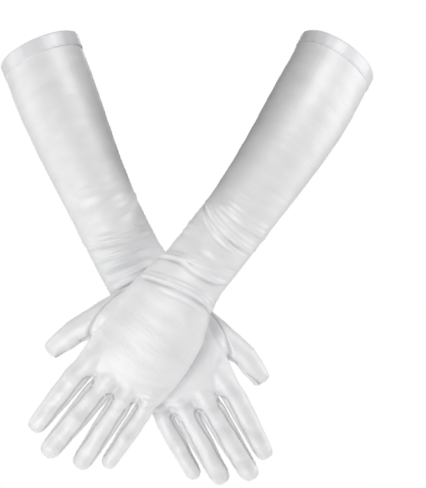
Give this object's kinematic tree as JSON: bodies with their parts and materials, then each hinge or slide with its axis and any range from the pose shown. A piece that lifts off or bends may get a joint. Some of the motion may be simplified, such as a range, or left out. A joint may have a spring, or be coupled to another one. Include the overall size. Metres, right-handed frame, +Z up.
{
  "type": "opera gloves",
  "caption": "Below-elbow satin gloves with turned hems, set-in thumbs and finger gussets, crossed at the wrists and open for the arm and hand.",
  "frame": {"origin": "middle of the left glove's open cuff", "axes": "+Z up towards the cuffs, fingers down; -Y to the front, the side both backs of the hands face; +X towards the left glove's cuff"},
  "size_m": [0.3052, 0.1288, 0.3676],
  "materials": {
    "satin": "satin"
  },
  "bodies": {
    "left_sleeve": {"left_hem_band": "satin", "left_sleeve_back": "satin", "left_sleeve_palm": "satin"},
    "left_hand": {"left_hand_back": "satin", "left_hand_palm": "satin"},
    "left_index": {"left_index_back": "satin", "left_index_fourchette_ulnar": "satin", "left_index_palm": "satin"},
    "left_middle": {"left_middle_back": "satin", "left_middle_fourchette_radial": "satin", "left_middle_fourchette_ulnar": "satin", "left_middle_palm": "satin"},
    "left_ring": {"left_ring_back": "satin", "left_ring_fourchette_radial": "satin", "left_ring_fourchette_ulnar": "satin", "left_ring_palm": "satin"},
    "left_little": {"left_little_back": "satin", "left_little_fourchette_radial": "satin", "left_little_palm": "satin"},
    "left_thumb": {"left_thumb_back": "satin", "left_thumb_palm": "satin"},
    "right_sleeve": {"right_hem_band": "satin", "right_sleeve_back": "satin", "right_sleeve_palm": "satin"},
    "right_hand": {"right_hand_back": "satin", "right_hand_palm": "satin"},
    "right_index": {"right_index_back": "satin", "right_index_fourchette_ulnar": "satin", "right_index_palm": "satin"},
    "right_middle": {"right_middle_back": "satin", "right_middle_fourchette_radial": "satin", "right_middle_fourchette_ulnar": "satin", "right_middle_palm": "satin"},
    "right_ring": {"right_ring_back": "satin", "right_ring_fourchette_radial": "satin", "right_ring_fourchette_ulnar": "satin", "right_ring_palm": "satin"},
    "right_little": {"right_little_back": "satin", "right_little_fourchette_radial": "satin", "right_little_palm": "satin"},
    "right_thumb": {"right_thumb_back": "satin", "right_thumb_palm": "satin"}
  },
  "joints": [
    {"name": "left_wrist", "type": "hinge", "parent": "left_sleeve", "child": "left_hand", "pos_m": [-0.11768, -0.08891, -0.17644], "axis": [-0.7683, 0, 0.6401], "range_deg": [0, 40]},
    {"name": "left_index_root", "type": "hinge", "parent": "left_hand", "child": "left_index", "pos_m": [-0.20893, -0.06074, -0.25661], "axis": [0.7793, 0, -0.6266], "range_deg": [0, 60]},
    {"name": "left_middle_root", "type": "hinge", "parent": "left_hand", "child": "left_middle", "pos_m": [-0.19391, -0.06031, -0.27107], "axis": [0.7738, 0, -0.6334], "range_deg": [0, 60]},
    {"name": "left_ring_root", "type": "hinge", "parent": "left_hand", "child": "left_ring", "pos_m": [-0.17694, -0.06091, -0.28195], "axis": [0.8358, 0, -0.549], "range_deg": [0, 60]},
    {"name": "left_little_root", "type": "hinge", "parent": "left_hand", "child": "left_little", "pos_m": [-0.15748, -0.06229, -0.28515], "axis": [0.8358, 0, -0.549], "range_deg": [0, 60]},
    {"name": "left_thumb_root", "type": "hinge", "parent": "left_hand", "child": "left_thumb", "pos_m": [-0.21139, -0.05353, -0.22332], "axis": [0.6184, 0, -0.7859], "range_deg": [0, 25]},
    {"name": "right_glove_lift", "type": "slide", "parent": "left_sleeve", "child": "right_sleeve", "axis": [0, 1, 0], "range_m": [0, 0.15]},
    {"name": "right_wrist", "type": "hinge", "parent": "right_sleeve", "child": "right_hand", "pos_m": [-0.16018, -0.01581, -0.18144], "axis": [0.8695, 0, 0.4939], "range_deg": [0, 40]},
    {"name": "right_index_root", "type": "hinge", "parent": "right_hand", "child": "right_index", "pos_m": [-0.08456, -0.02764, -0.2765], "axis": [0.8821, 0, 0.471], "range_deg": [0, 60]},
    {"name": "right_middle_root", "type": "hinge", "parent": "right_hand", "child": "right_middle", "pos_m": [-0.1019, -0.02721, -0.28808], "axis": [0.8607, 0, 0.509], "range_deg": [0, 60]},
    {"name": "right_ring_root", "type": "hinge", "parent": "right_hand", "child": "right_ring", "pos_m": [-0.12052, -0.02781, -0.29578], "axis": [0.878, 0, 0.4787], "range_deg": [0, 60]},
    {"name": "right_little_root", "type": "hinge", "parent": "right_hand", "child": "right_little", "pos_m": [-0.14025, -0.02919, -0.29548], "axis": [0.8821, 0, 0.471], "range_deg": [0, 60]},
    {"name": "right_thumb_root", "type": "hinge", "parent": "right_hand", "child": "right_thumb", "pos_m": [-0.07624, -0.02043, -0.24417], "axis": [0.8131, 0, 0.5821], "range_deg": [0, 25]}
  ]
}
